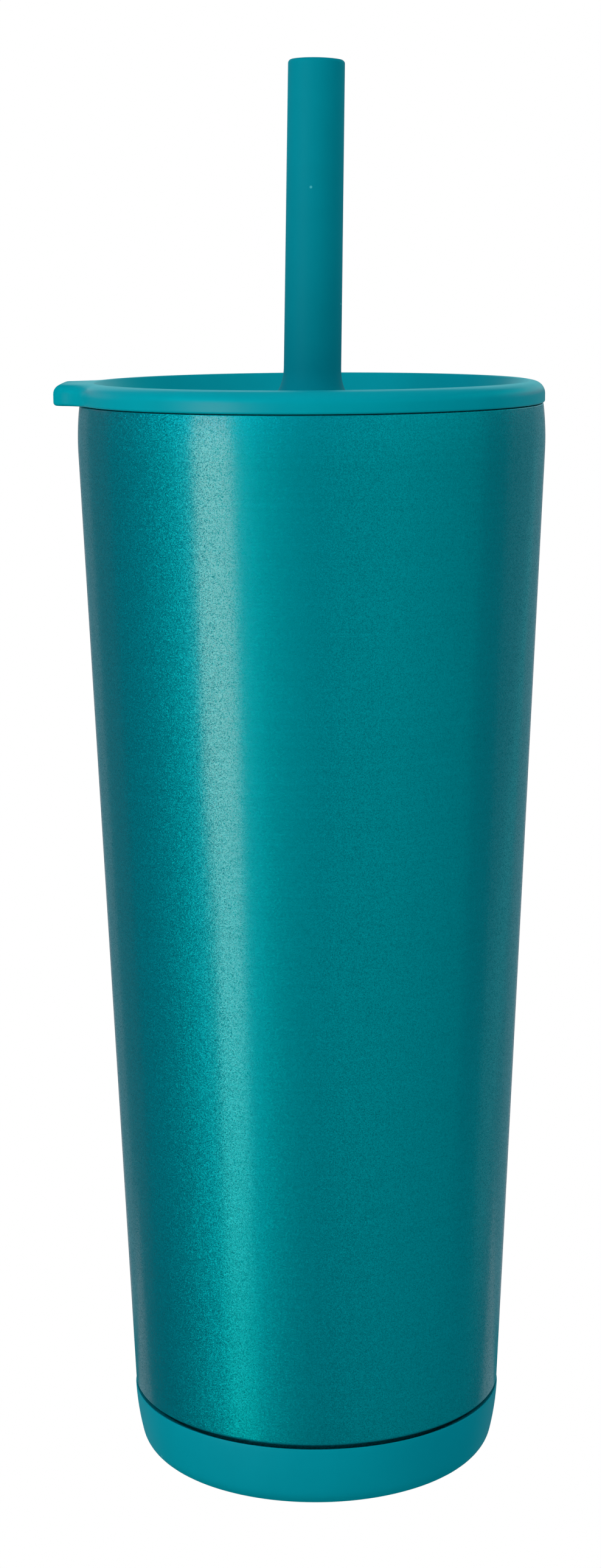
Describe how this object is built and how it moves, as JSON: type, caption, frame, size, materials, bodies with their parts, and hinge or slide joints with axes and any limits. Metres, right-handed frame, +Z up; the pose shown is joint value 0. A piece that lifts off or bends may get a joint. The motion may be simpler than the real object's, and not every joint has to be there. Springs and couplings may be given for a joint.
{
  "type": "insulated straw tumbler",
  "caption": "Double-walled steel drinking tumbler with a tapered body, soft push-in lid with pull tab, upright straw and soft foot boot.",
  "frame": {"origin": "centre of the boot's flat underside, on the cup's axis", "axes": "+Z up along the cup's axis towards the mouth, -X towards the lid's pull tab"},
  "size_m": [0.0883, 0.084, 0.2575],
  "materials": {
    "painted_steel": "teal powder-fine metallic paint, satin",
    "bare_steel": "drawn and brushed",
    "foil": "bright copper-coloured foil",
    "getter": "matt sintered",
    "solder": "dull solder",
    "adhesive": "cured adhesive",
    "boot_silicone": "satin teal silicone",
    "lid_silicone": "satin teal silicone",
    "spout_silicone": "satin teal silicone",
    "gasket_silicone": "frosted silicone",
    "clear_plastic": "tinted stiff plastic"
  },
  "bodies": {
    "cup": {"outer_shell": "painted_steel", "inner_liner": "bare_steel", "outer_base": "bare_steel", "radiation_foil": "foil", "getter_pellet": "getter", "getter_strap": "bare_steel", "vacuum_seal_bead": "solder", "seal_cover_disc": "bare_steel", "boot_adhesive": "adhesive", "base_boot": "boot_silicone"},
    "lid": {"lid_cover": "lid_silicone", "lid_insert": "clear_plastic", "lid_gasket": "gasket_silicone"},
    "straw": {"straw_spout": "spout_silicone", "straw_tube": "clear_plastic"}
  },
  "joints": [
    {"name": "lid_lift", "type": "slide", "parent": "cup", "child": "lid", "axis": [0, 0, 1], "range_m": [0, 0.2]},
    {"name": "straw_pull", "type": "slide", "parent": "lid", "child": "straw", "axis": [0, 0, 1], "range_m": [0, 0.19]}
  ]
}
